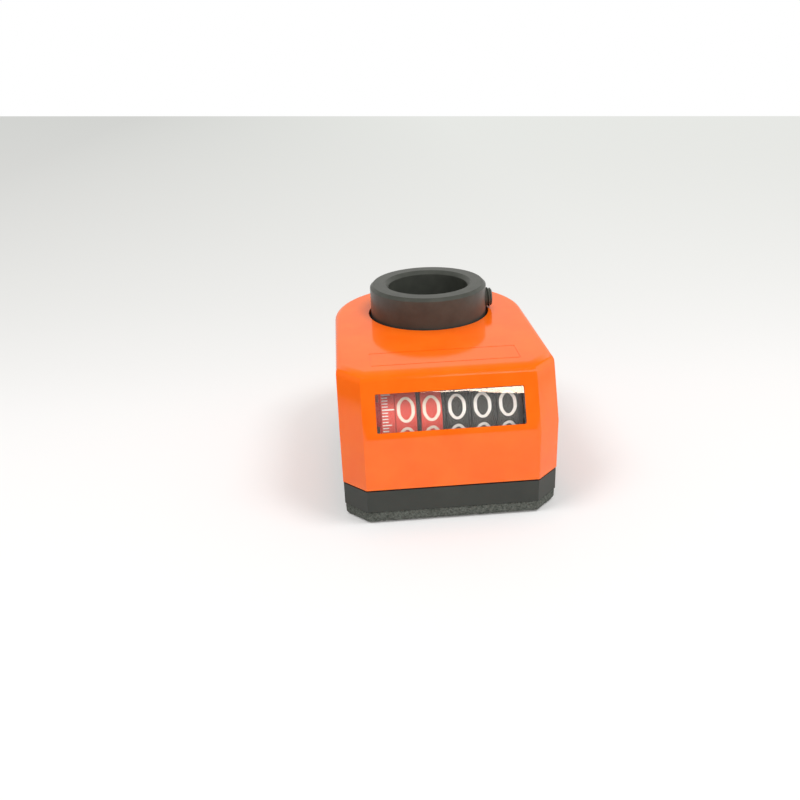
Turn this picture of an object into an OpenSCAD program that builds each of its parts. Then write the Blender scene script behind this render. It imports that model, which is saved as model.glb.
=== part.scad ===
// Mechanical position indicator: a hollow shaft drives a row of digit drums behind an inclined window.
// Frame: origin on the shaft axis at the mounting face, +Z up along the shaft, window towards -Y, in mm.

/* [Housing] */
// Width of the housing, which is also the diameter of its round back
body_w = 48; // [46:0.5:54]
// Distance from the shaft axis to the upright front face
front_reach = 46.5; // [46:0.5:52]
// Leg of the two 45 degree front corner chamfers
corner_chamfer = 5; // [3:0.5:5.5]
// Height of the flat top over the mounting face
top_z = 33.3; // [33:0.1:38]
// Height at which the front starts to lean back
knee_z = 20.3; // [19.5:0.1:21]
// Lean of the window face from upright, in degrees
lean = 26; // [22:1:28]
// Wall thickness of the housing
wall = 2; // [1.5:0.1:2.2]
// Radius of the round along the top of the front
front_round = 3; // [1.5:0.1:4]
// Radius of the round along the top of the sides and the back
side_round = 1.4; // [0.5:0.1:1.8]

/* [Window] */
// Height of the window opening along the slope
window_h = 8.3; // [7:0.1:9]
// Corner radius of the window opening
window_corner = 0.3; // [0.3:0.1:1.5]
// Height of the window's centre over the mounting face
window_z = 25.6; // [25.2:0.1:26]
// Thickness of the lens flange behind the wall
lens_flange_t = 0.8; // [0.5:0.1:1]
// Width of the lens flange around the opening
lens_flange_w = 1.1; // [0.6:0.1:1.3]
// Rise of the lens over the wall at its middle
lens_crown = 0.15; // [0.05:0.05:0.3]
// Clearance around the lens in its opening
lens_gap = 0.1; // [0.05:0.05:0.2]
// Depth of the shallow frame from back to front
frame_line_d = 7.6; // [5:0.1:9]
// Width of the line that draws the shallow frame
frame_line_w = 0.25; // [0.2:0.05:0.6]
// Depth of the line that draws the shallow frame
frame_line_cut = 0.1; // [0.1:0.05:0.3]

/* [Base] */
// Thickness of the foam gasket
foam_t = 3; // [2:0.1:4]
// Inset of the foam gasket from the housing's outline
foam_inset = 0.2; // [0.2:0.1:1]
// Height of the base's visible rim
base_h = 5.5; // [5:0.1:6]
// Inset of the base from the housing's outline
base_inset = 0.1; // [0.1:0.05:0.4]
// Height of the groove that shows as a line between base and housing
seam_h = 0.35; // [0.2:0.05:0.5]
// Depth of that groove
seam_d = 0.6; // [0.3:0.05:0.8]
// Thickness of the base's floor
floor_t = 2.5; // [2.2:0.1:3]
// Height of the lip that centres the housing on the base
lip_h = 1.8; // [1:0.1:2]
// Thickness of that lip
lip_t = 1.2; // [0.8:0.1:1.3]
// Clearance between the lip and the housing
lip_gap = 0.15; // [0.05:0.05:0.3]
// Diameter of the hole for the torque pin
pin_hole_d = 6; // [4:0.5:6]
// Distance of the torque pin's hole from the shaft axis
pin_hole_reach = 30; // [28:0.5:31]
// Depth of the torque pin's hole
pin_hole_depth = 4; // [3:0.1:4.2]

/* [Hollow shaft] */
// Bore of the hollow shaft
bore_d = 20; // [16:0.5:20]
// Width of the step from the sleeve out to the collar that shows above the housing
collar_step = 2.65; // [2.3:0.05:3]
// Height of the collar over the housing's top
collar_h = 7.6; // [7.3:0.1:11]
// Outer diameter of the sleeve inside the housing
sleeve_d = 24; // [23:0.1:25]
// Height of the sleeve's lower end over the mounting face
sleeve_end_z = 1; // [0.5:0.1:1.2]
// Height of the collar's lower shoulder
shoulder_z = 26; // [25:0.1:27]
// Chamfer at both mouths of the bore
mouth_chamfer = 0.9; // [0.3:0.05:1]
// Chamfer on the collar's rim
rim_chamfer = 0.75; // [0.3:0.05:0.9]
// Radial running fit of the shaft in its bushes
shaft_fit = 0.05; // [0.03:0.01:0.09]
// Radial gap between the collar and the hole in the top
collar_gap = 0.65; // [0.4:0.05:0.7]

/* [Set screw] */
// Diameter of the set screw
screw_d = 5; // [4:0.5:5]
// Length of the set screw
screw_l = 5; // [4.5:0.5:6]
// Height of the set screw's axis over the housing's top
screw_h = 2.7; // [2.6:0.1:3.8]
// Distance that the set screw stands out of the collar
screw_out = 1.6; // [1:0.1:2]
// Hexagon socket of the set screw, across flats
socket_af = 2.5; // [2:0.5:3]
// Radial clearance of the set screw in its hole
screw_fit = 0.05; // [0.03:0.01:0.09]

/* [Gears] */
// Teeth of the ring gear on the hollow shaft
shaft_teeth = 48; // [46:1:48]
// Teeth of the drive pinion
pinion_teeth = 12; // [11:1:12]
// Teeth of the gear on the drum axle
drum_teeth = 24; // [20:1:24]
// Teeth inside each driven drum
ring_teeth = 20; // [20:1:20]
// Teeth of each transfer pinion
transfer_teeth = 6; // [6:1:6]
// Share of the tooth that is left out as backlash
backlash = 0.14; // [0.1:0.01:0.2]
// Face width of the spur gears
gear_w = 1.4; // [1:0.1:1.6]
// Face width of the teeth on the shaft gear
crown_w = 2.2; // [1.5:0.1:2.3]
// Radial running fit of wheels on pins and axle
wheel_fit = 0.05; // [0.03:0.01:0.09]
// Diameter of the two gear pins
gear_pin_d = 2; // [1.5:0.1:2.4]

/* [Counter] */
// Radius of the digit drums
drum_r = 10.4; // [10:0.1:10.5]
// Gap from one digit drum to the next
drum_gap = 1; // [0.8:0.05:1.1]
// Width of the graduated drum beside it
scale_w = 2.9; // [2.6:0.1:3]
// Thickness of the drums' rims
drum_rim = 1.8; // [1.6:0.1:1.9]
// Diameter of the drum axle
axle_d = 3; // [2.5:0.1:3]
// Thickness of the carrier plates between the drums
carrier_t = 0.6; // [0.4:0.05:0.6]
// Thickness of the counter frame's side plates
frame_t = 1.2; // [0.8:0.1:1.2]
// Width of the counter frame's feet
foot_w = 3.3; // [3.2:0.1:3.5]

/* [Hidden] */
$fn = 96;

// Lengths that cut past a face, and one larger than the whole object
past = 1;
big = 120;
// Gap between parts that pass each other without touching
clear = 0.3;
// Gap between parts that lie side by side
side_gap = 0.1;

// Housing outline
half_w = body_w / 2;
corner_sum = half_w + front_reach - corner_chamfer;
base_z = foam_t;
seam_z = foam_t + base_h;
floor_z = base_z + floor_t;
roof_z = top_z - wall;
lean_back = (top_z - knee_z) * tan(lean);
corner_lean = atan(tan(lean) / sqrt(2));
inner_w = half_w - wall;
base_inner_w = inner_w - lip_gap - lip_t;
pin_hole_wall = 1.5;
pin_hole_cap = 1;
foam_pin_gap = 2;

// Counter frame, as wide as the base lets it be, and the window in front of it
foot_gap = 0.05;
frame_x = base_inner_w - foot_gap - foot_w - frame_t;
window_side = 0.1;
window_w = 2 * (frame_x - window_side);

// Window and counter axis
window_y = -front_reach + (window_z - knee_z) * tan(lean);
lens_t = wall + lens_gap + lens_flange_t;
lens_to_drum = 0.45;
drum_depth = lens_t + lens_to_drum + drum_r;
drum_y = window_y + drum_depth * cos(lean);
drum_z = window_z - drum_depth * sin(lean);
// Rise and radius of the lens's outer curve
lens_sag = 0.4;
lens_curve = (pow(window_h / 2, 2) + pow(lens_sag, 2)) / (2 * lens_sag);
// Shallow frame on the top face
frame_line_setback = 1.2;
frame_line_over = 0.5;
frame_line_l = window_w + 2 * frame_line_over;
frame_line_y = -front_reach + lean_back + front_round + frame_line_setback + frame_line_d / 2;

// Hollow shaft and its bearings
bore_r = bore_d / 2;
sleeve_r = sleeve_d / 2;
collar_r = sleeve_r + collar_step;
collar_top_z = top_z + collar_h;
top_hole_r = collar_r + collar_gap;
seal_r = 0.74;
seal_seat_r = collar_r + 2 * seal_r + 2 * shaft_fit;
top_lip = 1.4;
seal_z = top_z - top_lip - seal_r - side_gap;
bush_top_z = seal_z - seal_r - side_gap;
bush_h = 2.6;
boss_wall = 1.8;
lower_bush_t = 1.25;
lower_flange_w = 1.2;
lower_flange_t = 0.4;
clip_t = 1.2;
clip_z = base_z - clear - clip_t;
clip_w = 2.6;
clip_groove = 0.7;
clip_opening = 40;

// Set screw
screw_r = screw_d / 2;
screw_z = top_z + screw_h;
screw_end = collar_r + screw_out;
screw_point = 0.6;
socket_depth = 2;

// Gear train on the left: shaft gear, pinion, idler, drum gear
pressure = 20;
gear_x = -frame_x - frame_t - clear - gear_w;
crown_out = -gear_x;
shaft_gear_r = crown_out + side_gap - crown_w / 2;
gear_module = 2 * shaft_gear_r / shaft_teeth;
addendum = 0.8 * gear_module;
dedendum = gear_module;
spur_tip = gear_module;
spur_root = 1.15 * gear_module;
pinion_r = pinion_teeth * gear_module / 2;
drum_gear_r = drum_teeth * gear_module / 2;
crown_fill = 0.3226;
crown_tooth = crown_fill * PI * gear_module;
crown_disc = 1.75;
crown_z = floor_z + lower_flange_t + side_gap;
crown_hub_h = 3;
crown_hub_gap = 1.3;
crown_hub_r = crown_out - crown_w - crown_hub_gap;
pitch_z = crown_z + crown_disc + dedendum;
pinion_y = 0;
pinion_z = pitch_z + pinion_r;
train_gap = sqrt(pow(drum_y - pinion_y, 2) + pow(drum_z - pinion_z, 2));
idler_teeth = ceil((train_gap - pinion_r - drum_gear_r) / gear_module + 0.5);
idler_r = idler_teeth * gear_module / 2;
near_r = pinion_r + idler_r;
far_r = drum_gear_r + idler_r;
train_along = (near_r * near_r - far_r * far_r + train_gap * train_gap) / (2 * train_gap);
train_across = sqrt(near_r * near_r - train_along * train_along);
train_dir = [drum_y - pinion_y, drum_z - pinion_z] / train_gap;
idler_y = pinion_y + train_along * train_dir[0] + train_across * train_dir[1];
idler_z = pinion_z + train_along * train_dir[1] - train_across * train_dir[0];
pinion_w = crown_w + 2 * side_gap;
pin_r = gear_pin_d / 2;
pin_head_w = 0.6;
pin_head_lip = 0.7;
pin_head_r = pin_r + pin_head_lip;
pin_boss_wall = 1.4;
pin_boss_r = pin_r + pin_boss_wall;
pin_seat = 1.2;

// Phases: a pinion tooth points down between two teeth of the shaft gear, and the rest follows
function mesh_phase(phase, teeth, dir, next) =
    dir + 180 - 360 / next * (0.5 - (dir - phase) * teeth / 360);
pinion_phase = -90;
idler_dir = atan2(idler_z - pinion_z, idler_y - pinion_y);
idler_phase = mesh_phase(pinion_phase, pinion_teeth, idler_dir, idler_teeth);
drum_dir = atan2(drum_z - idler_z, drum_y - idler_y);
drum_phase = mesh_phase(idler_phase, idler_teeth, drum_dir, drum_teeth);

// Counter
drum_count = 5;
axle_r = axle_d / 2;
hub_wall = 0.6;
hub_r = axle_r + hub_wall;
scale_hub_wall = 1.1;
scale_hub_r = axle_r + scale_hub_wall;
scale_web = 1;
scale_side = 1.38;
washer_t = 0.85;
drum_pitch = (2 * frame_x - scale_side - scale_w - washer_t - 3 * side_gap + drum_gap) / drum_count;
drum_w = drum_pitch - drum_gap;
cavity_r = drum_r - drum_rim;
rim_mid_r = drum_r - drum_rim / 2;
ring_clear = 0.35;
ring_module = (cavity_r - ring_clear) / (ring_teeth / 2 + 1);
ring_r = ring_teeth * ring_module / 2;
ring_tip = 0.72 * ring_module;
transfer_r = transfer_teeth * ring_module / 2;
transfer_reach = ring_r - transfer_r;
transfer_tip = 0.8 * ring_module;
transfer_root = 0.95 * ring_module;
waist_lip = 0.08;
waist_r = transfer_r + transfer_tip + waist_lip;
drive_side = 1.6;
carry_side = 1.9;
carry_teeth_w = 0.75;
carry_tooth_tip = 0.8;
carry_tooth_root = 1.2;
carry_tooth_turn = 9;
carry_tip_r = ring_r - 0.8 * ring_module;
carry_mesh = 0.9;
drive_mesh = 1.2;
carrier_inset = 0.7;
carrier_r = drum_r - carrier_inset;
tail_h = 5;
first_drum_left = -frame_x + scale_side + scale_w + side_gap;
function drum_left(k) = first_drum_left + (k - 1) * drum_pitch;
function carrier_left(k) = drum_left(k) + drum_w + (drum_pitch - drum_w - carrier_t) / 2;

// Counter frame
frame_back_t = 1.8;
frame_back_y = drum_y + drum_r + 2 * clear;
frame_half_h = 5;
foot_d = 9;
foot_t = 1.5;
foot_y = drum_y - foot_d / 2;
frame_screw_r = 0.9;
frame_screw_head_r = 1.5;
frame_screw_head_t = 1.2;
frame_screw_y = foot_y + foot_d / 2;
frame_screw_x = frame_x + frame_t + foot_w / 2;
frame_screw_skin = 0.7;
frame_screw_end_z = base_z + frame_screw_skin;
cross_slot = [1.8, 0.4, 1];
axle_out = 1.2;
axle_clip_t = 0.8;
axle_clip_lip = 1.1;
axle_clip_r = axle_r + axle_clip_lip;
washer_wall = 1.5;
washer_r = axle_r + washer_wall;

orange = "#ff7a1e";
charcoal = "#3c3c40";
foam_grey = "#4a4a4c";
steel = "#a9adb2";
black_steel = "#55575a";
brass = "#c8a45c";
drum_red = "#d8412f";
drum_black = "#232326";
nylon = "#e8e2d2";

// Draws along +X: the plane's x becomes Y and its y becomes Z
module along_x(x) {
    translate([x, 0, 0]) rotate([90, 0, 90]) children();
}

// Places shapes on the leaning face: outward is -Y, up the slope is +Z
module at_window() {
    translate([0, window_y, window_z]) rotate([-lean, 0, 0]) children();
}

module rounded_rect(w, h, r) {
    square([w - 2 * r, h], center = true);
    square([w, h - 2 * r], center = true);
    for (x = [-1, 1], y = [-1, 1])
        translate([x * (w / 2 - r), y * (h / 2 - r)]) circle(r);
}

// Outline seen from above: round back, straight sides, chamfered front
module plan(inset) {
    w = half_w - inset;
    sum = corner_sum - inset * sqrt(2);
    front = front_reach - inset;
    difference() {
        polygon([[w, w], [w, w - sum], [sum - front, -front], [front - sum, -front], [-w, w - sum], [-w, w]]);
        difference() {
            translate([-w - past, 0]) square([2 * (w + past), w + past]);
            circle(w, $fn = 180);
        }
    }
}

// Everything in front of a plane that leans back by angle a, for the cut at height knee_z
module lean_cut(a) {
    rotate([-a, 0, 0]) translate([-big / 2, -big, -big / 2]) cube(big);
}

// Outline with the leaning front and corners, from z0 to z1
module leaning_body(inset, z0, z1) {
    difference() {
        translate([0, 0, z0]) linear_extrude(z1 - z0) plan(inset);
        translate([0, -front_reach, knee_z]) translate([0, inset / cos(lean), 0]) lean_cut(lean);
        for (side = [-45, 45])
            rotate([0, 0, side])
                translate([0, -corner_sum / sqrt(2) + inset / cos(corner_lean), knee_z])
                    lean_cut(corner_lean);
    }
}

// Profile outside a round of radius r between a flat top and a face leaning by a
module round_profile(r, a) {
    mid = [r * (1 - sin(a)) / cos(a), -r];
    foot = mid + (r + past) * [-cos(a), sin(a)];
    difference() {
        polygon([mid, [mid[0], past], [foot[0], past], foot]);
        translate(mid) circle(r);
    }
}

// The same round along a straight top edge at distance reach in direction turn
module top_round(turn, reach, r, a) {
    rotate([0, 0, turn])
        translate([0, -reach, top_z])
            along_x(-big / 2) linear_extrude(big) round_profile(r, a);
}

module rounded_housing() {
    difference() {
        leaning_body(0, seam_z, top_z);
        top_round(0, front_reach - lean_back, front_round, lean);
        for (side = [-45, 45])
            top_round(side, (corner_sum - lean_back) / sqrt(2), front_round, corner_lean);
        intersection() {
            for (side = [-90, 90]) top_round(side, half_w, side_round, 0);
            translate([-big / 2, -big, 0]) cube(big);
        }
        translate([0, 0, top_z])
            rotate_extrude(angle = 180, $fn = 180)
                translate([half_w, 0]) mirror([1, 0]) round_profile(side_round, 0);
    }
}

// Boss on the left wall that holds a gear pin
module pin_boss(y, z) {
    along_x(-inner_w - wall / 2)
        translate([y, z]) linear_extrude(inner_w + wall / 2 + gear_x - clear) circle(pin_boss_r);
}

module pin_seat_hole(y, z) {
    along_x(-inner_w - pin_seat)
        translate([y, z]) linear_extrude(inner_w) circle(pin_r);
}

module housing() {
    color(orange) difference() {
        union() {
            difference() {
                rounded_housing();
                leaning_body(wall, seam_z - past, roof_z);
            }
            pin_boss(pinion_y, pinion_z);
            pin_boss(idler_y, idler_z);
            translate([0, 0, bush_top_z - bush_h])
                cylinder(r = seal_seat_r + boss_wall, h = roof_z + wall / 2 - bush_top_z + bush_h);
        }
        translate([0, 0, bush_top_z - bush_h - past])
            cylinder(r = seal_seat_r, h = top_z - top_lip - bush_top_z + bush_h + past);
        cylinder(r = top_hole_r, h = top_z + past);
        pin_seat_hole(pinion_y, pinion_z);
        pin_seat_hole(idler_y, idler_z);
        at_window() translate([0, wall + past, 0]) rotate([90, 0, 0])
            linear_extrude(wall + 2 * past) rounded_rect(window_w, window_h, window_corner);
        translate([0, frame_line_y, top_z - frame_line_cut])
            linear_extrude(frame_line_cut + past) difference() {
                square([frame_line_l, frame_line_d], center = true);
                square([frame_line_l - 2 * frame_line_w, frame_line_d - 2 * frame_line_w], center = true);
            }
    }
}

module window_lens() {
    color("#e8f0f2", 0.4) at_window() {
        intersection() {
            translate([0, wall + lens_gap, 0]) rotate([90, 0, 0])
                linear_extrude(wall + lens_gap + past)
                    rounded_rect(window_w - 2 * lens_gap, window_h - 2 * lens_gap, window_corner);
            along_x(-window_w) translate([lens_curve - lens_crown, 0])
                linear_extrude(2 * window_w) circle(lens_curve, $fn = 240);
        }
        translate([0, lens_t, 0]) rotate([90, 0, 0])
            linear_extrude(lens_flange_t)
                square([window_w + 2 * lens_flange_w, window_h + 2 * lens_flange_w], center = true);
    }
}

module base() {
    color(charcoal) difference() {
        union() {
            difference() {
                translate([0, 0, base_z]) linear_extrude(base_h) plan(base_inset);
                translate([0, 0, floor_z]) linear_extrude(base_h) plan(wall + lip_gap + lip_t);
            }
            translate([0, 0, seam_z - past]) linear_extrude(lip_h + past) difference() {
                plan(wall + lip_gap);
                plan(wall + lip_gap + lip_t);
            }
            translate([0, -pin_hole_reach, base_z])
                cylinder(d = pin_hole_d + 2 * pin_hole_wall, h = pin_hole_depth + pin_hole_cap);
        }
        translate([0, 0, seam_z - seam_h]) linear_extrude(seam_h + past) difference() {
            plan(0);
            plan(base_inset + seam_d);
        }
        cylinder(r = sleeve_r + shaft_fit + lower_bush_t, h = floor_z + past);
        translate([0, -pin_hole_reach, 0]) cylinder(d = pin_hole_d, h = base_z + pin_hole_depth);
        for (side = [-1, 1])
            translate([side * frame_screw_x, frame_screw_y, frame_screw_end_z])
                cylinder(r = frame_screw_r, h = floor_t);
    }
}

module foam_gasket() {
    color(foam_grey) difference() {
        linear_extrude(foam_t) plan(foam_inset);
        translate([0, 0, -past]) cylinder(r = sleeve_r + clip_w, h = foam_t + 2 * past);
        translate([0, -pin_hole_reach, -past])
            cylinder(d = pin_hole_d + 2 * foam_pin_gap, h = foam_t + 2 * past);
    }
}

module hollow_shaft() {
    mouth = mouth_chamfer;
    groove = sleeve_r - clip_groove;
    color(black_steel) difference() {
        rotate_extrude($fn = 180) polygon([
            [bore_r + mouth, sleeve_end_z], [sleeve_r, sleeve_end_z],
            [sleeve_r, clip_z], [groove, clip_z], [groove, clip_z + clip_t], [sleeve_r, clip_z + clip_t],
            [sleeve_r, shoulder_z], [collar_r, shoulder_z],
            [collar_r, collar_top_z - rim_chamfer], [collar_r - rim_chamfer, collar_top_z],
            [bore_r + mouth, collar_top_z], [bore_r, collar_top_z - mouth],
            [bore_r, sleeve_end_z + mouth]]);
        along_x(0) translate([0, screw_z]) linear_extrude(collar_r + past) circle(screw_r + screw_fit);
    }
}

module set_screw() {
    color(steel) translate([screw_end - screw_l, 0, screw_z]) rotate([0, 90, 0]) difference() {
        union() {
            cylinder(r1 = screw_r - screw_point, r2 = screw_r, h = screw_point);
            translate([0, 0, screw_point]) cylinder(r = screw_r, h = screw_l - screw_point);
        }
        translate([0, 0, screw_l - socket_depth])
            cylinder(d = socket_af / cos(30), h = socket_depth + past, $fn = 6);
    }
}

// Ring gear with teeth on its upper face
module shaft_gear() {
    slope = tan(pressure);
    low = -dedendum - side_gap;
    color(nylon) {
        translate([0, 0, crown_z]) difference() {
            union() {
                cylinder(r = crown_out, h = crown_disc);
                cylinder(r = crown_hub_r, h = crown_hub_h);
            }
            translate([0, 0, -past]) cylinder(r = sleeve_r, h = crown_hub_h + 2 * past);
        }
        for (i = [0 : shaft_teeth - 1])
            rotate([0, 0, 180 + (i + 0.5) * 360 / shaft_teeth])
                translate([0, 0, pitch_z])
                    along_x(crown_out - crown_w) linear_extrude(crown_w) polygon([
                        [-crown_tooth / 2 + low * slope, low], [crown_tooth / 2 - low * slope, low],
                        [crown_tooth / 2 - addendum * slope, addendum],
                        [-crown_tooth / 2 + addendum * slope, addendum]]);
    }
}

module upper_bush() {
    color(brass) translate([0, 0, bush_top_z - bush_h]) linear_extrude(bush_h) difference() {
        circle(seal_seat_r);
        circle(collar_r + shaft_fit);
    }
}

module lower_bush() {
    inner = sleeve_r + shaft_fit;
    color(brass) difference() {
        union() {
            translate([0, 0, base_z]) cylinder(r = inner + lower_bush_t, h = floor_t);
            translate([0, 0, floor_z])
                cylinder(r = inner + lower_bush_t + lower_flange_w, h = lower_flange_t);
        }
        translate([0, 0, base_z - past]) cylinder(r = inner, h = floor_t + lower_flange_t + 2 * past);
    }
}

module shaft_seal() {
    color("#1c1c1e") rotate_extrude($fn = 180)
        translate([collar_r + shaft_fit + seal_r, seal_z]) circle(seal_r, $fn = 48);
}

module retaining_ring() {
    color(steel) rotate([0, 0, 90 + clip_opening / 2])
        translate([0, 0, clip_z]) rotate_extrude(angle = 360 - clip_opening, $fn = 180)
            translate([sleeve_r - clip_groove, 0]) square([clip_w, clip_t]);
}

// Half angle of a tooth at radius rho on an involute from pitch radius r
function involute(a) = tan(a) * 180 / PI - a;
function half_tooth(r, half, rho) =
    half + involute(pressure) - involute(acos(min(1, r * cos(pressure) / rho)));

// Spur gear outline with pitch radius r; share is the part of the pitch that a tooth fills
function gear_outline(r, teeth, share, tip, root, phase) =
    let (half = 180 / teeth * share)
    let (radii = [r - root, r - root / 3, r, r + tip / 2, r + tip])
    [for (i = [0 : teeth - 1])
        for (s = [[-1, 0], [-1, 1], [-1, 2], [-1, 3], [-1, 4], [1, 4], [1, 3], [1, 2], [1, 1], [1, 0]])
            let (rho = radii[s[1]])
            let (a = phase + i * 360 / teeth + s[0] * half_tooth(r, half, rho))
            rho * [cos(a), sin(a)]];

module spur_gear(teeth, phase, bore) {
    difference() {
        polygon(gear_outline(teeth * gear_module / 2, teeth, (1 - backlash) / 2, spur_tip, spur_root, phase));
        circle(bore, $fn = 48);
    }
}

module drive_pinion() {
    color(nylon) along_x(gear_x) translate([pinion_y, pinion_z])
        linear_extrude(pinion_w) spur_gear(pinion_teeth, pinion_phase, pin_r + wheel_fit);
}

module idler_gear() {
    color(nylon) along_x(gear_x) translate([idler_y, idler_z])
        linear_extrude(gear_w) spur_gear(idler_teeth, idler_phase, pin_r + wheel_fit);
}

module drum_gear() {
    color(nylon) along_x(gear_x) translate([drum_y, drum_z])
        linear_extrude(gear_w) spur_gear(drum_teeth, drum_phase, axle_r);
}

// Headed pin, from its seat in the wall to past a gear of width w
module gear_pin(y, z, w) {
    start = -inner_w - pin_seat;
    head = gear_x + w + side_gap;
    color(steel) along_x(start) translate([y, z]) {
        linear_extrude(head - start) circle(pin_r, $fn = 48);
        translate([0, 0, head - start]) linear_extrude(pin_head_w) circle(pin_head_r, $fn = 48);
    }
}

module pinion_pin() {
    gear_pin(pinion_y, pinion_z, pinion_w);
}

module idler_pin() {
    gear_pin(idler_y, idler_z, gear_w);
}

// U-shaped frame: two side plates on feet, and a back with a slot for each carrier plate
module counter_frame() {
    color(steel) difference() {
        union() {
            for (side = [0, 1]) mirror([side, 0, 0]) {
                along_x(frame_x) linear_extrude(frame_t) union() {
                    translate([foot_y, drum_z - frame_half_h])
                        square([frame_back_y + frame_back_t - foot_y, 2 * frame_half_h]);
                    translate([foot_y, floor_z]) square([foot_d, drum_z - floor_z]);
                }
                translate([frame_x, foot_y, floor_z]) cube([frame_t + foot_w, foot_d, foot_t]);
            }
            translate([-frame_x, frame_back_y, drum_z - frame_half_h])
                cube([2 * frame_x, frame_back_t, 2 * frame_half_h]);
        }
        along_x(-body_w) translate([drum_y, drum_z]) linear_extrude(2 * body_w) circle(axle_r + wheel_fit);
        for (k = [1 : drum_count - 1])
            translate([carrier_left(k) - side_gap / 2, frame_back_y - past, drum_z - tail_h / 2 - side_gap])
                cube([carrier_t + side_gap, frame_back_t + 2 * past, tail_h + 2 * side_gap]);
        for (side = [-1, 1])
            translate([side * frame_screw_x, frame_screw_y, 0])
                cylinder(r = frame_screw_r + side_gap, h = drum_z);
    }
}

module frame_screws() {
    color(steel) for (side = [-1, 1]) translate([side * frame_screw_x, frame_screw_y, 0]) {
        translate([0, 0, frame_screw_end_z])
            cylinder(r = frame_screw_r, h = floor_z + foot_t - frame_screw_end_z);
        translate([0, 0, floor_z + foot_t]) difference() {
            cylinder(r = frame_screw_head_r, h = frame_screw_head_t);
            for (turn = [0, 90]) rotate([0, 0, turn])
                translate([0, 0, frame_screw_head_t]) cube(cross_slot, center = true);
        }
    }
}

module drum_axle() {
    start = gear_x - clear;
    end = frame_x + frame_t + axle_out;
    color(steel) along_x(start) translate([drum_y, drum_z]) linear_extrude(end - start) circle(axle_r);
}

module axle_clip() {
    color(steel) along_x(frame_x + frame_t + side_gap) translate([drum_y, drum_z])
        linear_extrude(axle_clip_t) difference() {
            circle(axle_clip_r);
            circle(axle_r);
        }
}

module end_washer() {
    start = drum_left(drum_count) + drum_w + side_gap;
    color(drum_black) along_x(start) translate([drum_y, drum_z])
        linear_extrude(washer_t) difference() {
            circle(washer_r);
            circle(axle_r + wheel_fit);
        }
}

module scale_drum() {
    right = drum_left(1) - side_gap;
    color(drum_red) along_x(0) translate([drum_y, drum_z]) difference() {
        union() {
            translate([0, 0, right - scale_w]) linear_extrude(scale_w) circle(drum_r);
            translate([0, 0, -frame_x + side_gap])
                linear_extrude(frame_x - side_gap + right) circle(scale_hub_r);
        }
        translate([0, 0, -body_w]) linear_extrude(body_w) circle(axle_r);
        translate([0, 0, right - scale_w - past]) linear_extrude(scale_w + past - scale_web) difference() {
            circle(cavity_r);
            circle(scale_hub_r);
        }
    }
}

// Drum k: a rim on a web, with ring teeth on its left side and two carry teeth on its right
module digit_drum(k, paint) {
    left = drum_left(k);
    bore = k == 1 ? axle_r : axle_r + wheel_fit;
    color(paint) along_x(left) translate([drum_y, drum_z]) {
        linear_extrude(drum_w) difference() {
            circle(drum_r);
            circle(cavity_r);
        }
        translate([0, 0, drive_side]) linear_extrude(drum_w - drive_side - carry_side) difference() {
            circle(rim_mid_r);
            circle(bore);
        }
        linear_extrude(drum_w) difference() {
            circle(hub_r);
            circle(bore);
        }
        if (k > 1) linear_extrude(drive_side + side_gap) difference() {
            circle(rim_mid_r);
            polygon(gear_outline(ring_r, ring_teeth, (1 + backlash) / 2, ring_module, ring_tip, -90));
        }
        if (k < drum_count) translate([0, 0, drum_w - carry_side])
            for (turn = [-carry_tooth_turn, carry_tooth_turn])
                linear_extrude(carry_teeth_w) rotate(turn) polygon([
                    [-carry_tooth_tip / 2, carry_tip_r], [carry_tooth_tip / 2, carry_tip_r],
                    [carry_tooth_root / 2, rim_mid_r], [-carry_tooth_root / 2, rim_mid_r]]);
    }
}

// Plate between two drums: it holds a transfer pinion, and its tail keeps it from turning
module carrier_plate(k) {
    color(drum_black) along_x(carrier_left(k)) translate([drum_y, drum_z]) linear_extrude(carrier_t)
        difference() {
            union() {
                circle(carrier_r);
                translate([0, -tail_h / 2])
                    square([frame_back_y + frame_back_t - drum_y, tail_h]);
            }
            circle(axle_r + wheel_fit);
            translate([0, -transfer_reach]) circle(waist_r + wheel_fit);
        }
}

module transfer_pinion(k) {
    left = carrier_left(k) - carry_mesh;
    color(nylon) along_x(left) translate([drum_y, drum_z - transfer_reach]) {
        linear_extrude(carry_mesh + carrier_t + drive_mesh)
            polygon(gear_outline(transfer_r, transfer_teeth, (1 - backlash) / 2, transfer_tip,
                transfer_root, -90));
        translate([0, 0, carry_mesh]) linear_extrude(carrier_t) circle(waist_r);
    }
}

housing();
window_lens();
base();
foam_gasket();
hollow_shaft();
set_screw();
shaft_gear();
upper_bush();
lower_bush();
shaft_seal();
retaining_ring();
drive_pinion();
pinion_pin();
idler_gear();
idler_pin();
counter_frame();
frame_screws();
drum_axle();
drum_gear();
scale_drum();
digit_drum(1, drum_red);  // digit_drum_1
digit_drum(2, drum_red);  // digit_drum_2
digit_drum(3, drum_black);  // digit_drum_3
digit_drum(4, drum_black);  // digit_drum_4
digit_drum(5, drum_black);  // digit_drum_5
carrier_plate(1);  // carrier_plate_1
carrier_plate(2);  // carrier_plate_2
carrier_plate(3);  // carrier_plate_3
carrier_plate(4);  // carrier_plate_4
transfer_pinion(1);  // transfer_pinion_1
transfer_pinion(2);  // transfer_pinion_2
transfer_pinion(3);  // transfer_pinion_3
transfer_pinion(4);  // transfer_pinion_4
end_washer();
axle_clip();
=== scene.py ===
# %% [markdown]
# # A mechanical position indicator
# A small counter that clamps on a machine's spindle: an orange housing with a leaning window, a black
# collar standing out of its top, a dark base and a foam gasket under it. The exact solids come from the
# CAD model as a fixed frame, in metres. This lesson gives every solid its finish, rounds the edges that
# catch the light, and models what CAD left plain: the foam, the screw thread and the print on the drums.

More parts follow.
